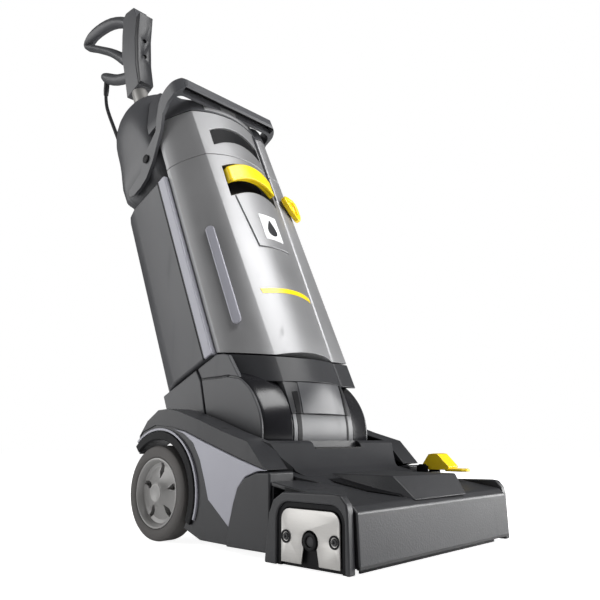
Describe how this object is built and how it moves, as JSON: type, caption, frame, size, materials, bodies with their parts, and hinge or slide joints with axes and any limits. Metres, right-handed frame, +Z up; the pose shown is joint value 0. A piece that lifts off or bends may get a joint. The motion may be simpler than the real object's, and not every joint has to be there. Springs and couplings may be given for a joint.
{
  "type": "wet dry floor scrubber",
  "caption": "Upright floor scrubber: low roller-brush head on two wheels, tilting body with a lift-off tank, hoop carry handle and a tube with a D-grip.",
  "frame": {"origin": "on the floor, under the middle of the machine's bounding box in its leaning rest pose", "axes": "+Z up, -Y the way the machine faces and works, +X to the right seen from behind the front edge, across the width"},
  "size_m": [0.335, 0.9304, 1.0812],
  "materials": {
    "dark_plastic": "fine-grained moulded",
    "mid_plastic": "satin moulded",
    "light_plastic": "satin moulded",
    "black_plastic": "moulded",
    "yellow_plastic": "semi-gloss moulded",
    "satin_steel": "satin",
    "motor_casting": "painted casting",
    "black_rubber": "matt",
    "tyre_rubber": "matt",
    "rim_plastic": "satin moulded",
    "bristle": "tufted",
    "lead_sheath": "smooth sheath"
  },
  "bodies": {
    "base": {"chassis": "black_plastic", "deck_cover": "dark_plastic", "body_cover": "mid_plastic", "end_cover_left": "dark_plastic", "end_cover_right": "dark_plastic", "side_plate_left": "satin_steel", "side_plate_right": "satin_steel", "plate_screw_front_left": "satin_steel", "plate_screw_front_right": "satin_steel", "plate_screw_rear_left": "satin_steel", "plate_screw_rear_right": "satin_steel", "brush_bearing_left": "black_plastic", "brush_bearing_right": "black_plastic", "axle": "satin_steel", "brush_motor": "motor_casting", "drive_belt": "black_rubber", "tilt_pin_left": "satin_steel", "tilt_pin_right": "satin_steel", "pedal_bracket": "dark_plastic"},
    "brush": {"roller_brush": "bristle", "brush_pulley": "black_plastic"},
    "motor_rotor": {"motor_pulley": "black_plastic"},
    "wheel_left": {"tyre_left": "tyre_rubber", "rim_left": "rim_plastic"},
    "wheel_right": {"tyre_right": "tyre_rubber", "rim_right": "rim_plastic"},
    "squeegee_front": {"squeegee_front_holder": "dark_plastic", "squeegee_front_blade": "black_rubber"},
    "squeegee_rear": {"squeegee_rear_holder": "dark_plastic", "squeegee_rear_blade": "black_rubber"},
    "pedal": {"foot_pedal": "yellow_plastic"},
    "upright": {"knuckle_housing": "dark_plastic", "knuckle_panel": "mid_plastic", "rear_housing": "mid_plastic", "head_cover": "mid_plastic", "suction_motor": "motor_casting", "water_pump": "black_plastic", "carry_pivot_left": "satin_steel", "carry_pivot_right": "satin_steel", "handle_tube": "satin_steel", "grip_body": "dark_plastic", "grip_front_cover": "mid_plastic", "grip_screw_lower": "satin_steel", "grip_screw_upper": "satin_steel", "lead_winding": "lead_sheath", "mains_lead": "lead_sheath", "plug_lead": "lead_sheath", "mains_plug": "lead_sheath", "lead_boot": "lead_sheath", "lower_hook": "dark_plastic"},
    "tank": {"tank_shell": "light_plastic", "tank_lid": "light_plastic", "level_window": "light_plastic", "badge_plate": "mid_plastic"},
    "tank_latch": {"tank_grip": "yellow_plastic"},
    "cap": {"filler_cap": "yellow_plastic"},
    "carry": {"carry_handle": "dark_plastic"},
    "rocker": {"power_rocker": "black_plastic"},
    "hook": {"cable_hook": "yellow_plastic"}
  },
  "joints": [
    {"name": "body_tilt", "type": "hinge", "parent": "base", "child": "upright", "pos_m": [0, -0.19737, 0.135], "axis": [-1, 0, 0], "range_deg": [-22, 40]},
    {"name": "brush_spin", "type": "hinge", "parent": "base", "child": "brush", "pos_m": [0, -0.40937, 0.0285], "axis": [1, 0, 0], "continuous": true},
    {"name": "motor_spin", "type": "hinge", "parent": "base", "child": "motor_rotor", "pos_m": [0, -0.32337, 0.045], "axis": [1, 0, 0], "continuous": true},
    {"name": "wheel_left_spin", "type": "hinge", "parent": "base", "child": "wheel_left", "pos_m": [-0.144, -0.13077, 0.0603], "axis": [1, 0, 0], "continuous": true},
    {"name": "wheel_right_spin", "type": "hinge", "parent": "base", "child": "wheel_right", "pos_m": [0.144, -0.13077, 0.0603], "axis": [1, 0, 0], "continuous": true},
    {"name": "pedal_press", "type": "hinge", "parent": "base", "child": "pedal", "pos_m": [0.138, -0.36037, 0.09], "axis": [1, 0, 0], "range_deg": [0, 12]},
    {"name": "squeegee_front_lift", "type": "slide", "parent": "base", "child": "squeegee_front", "axis": [0, 0, 1], "range_m": [0, 0.0081]},
    {"name": "squeegee_rear_lift", "type": "slide", "parent": "base", "child": "squeegee_rear", "axis": [0, 0, 1], "range_m": [0, 0.0081]},
    {"name": "carry_swing", "type": "hinge", "parent": "upright", "child": "carry", "pos_m": [0, 0.00194, 0.58264], "axis": [-1, 0, 0], "range_deg": [0, 22]},
    {"name": "tank_release", "type": "slide", "parent": "upright", "child": "tank", "axis": [0, -0.9135, 0.4067], "range_m": [0, 0.2]},
    {"name": "tank_latch_pull", "type": "hinge", "parent": "tank", "child": "tank_latch", "pos_m": [0, -0.1178, 0.54728], "axis": [-1, 0, 0], "range_deg": [0, 15], "stiffness_Nm_per_rad": 0.6, "springref_deg": -11.46},
    {"name": "filler_cap_open", "type": "hinge", "parent": "tank", "child": "cap", "pos_m": [0.09048, -0.10423, 0.52044], "axis": [-0.5635, -0.7547, 0.336], "range_deg": [0, 70]},
    {"name": "rocker_press", "type": "hinge", "parent": "upright", "child": "rocker", "pos_m": [0, 0.24965, 1.03219], "axis": [1, 0, 0], "range_deg": [0, 10]},
    {"name": "hook_turn", "type": "hinge", "parent": "upright", "child": "hook", "pos_m": [0, 0.09936, 0.50642], "axis": [0, 0.9135, -0.4067], "range_deg": [0, 180]}
  ],
  "couplings": [
    {"joint": "motor_spin", "follows": "brush_spin", "ratio": 1.7778},
    {"joint": "squeegee_front_lift", "follows": "pedal_press", "m_per_rad": 0.03819},
    {"joint": "squeegee_rear_lift", "follows": "pedal_press", "m_per_rad": 0.03819}
  ]
}
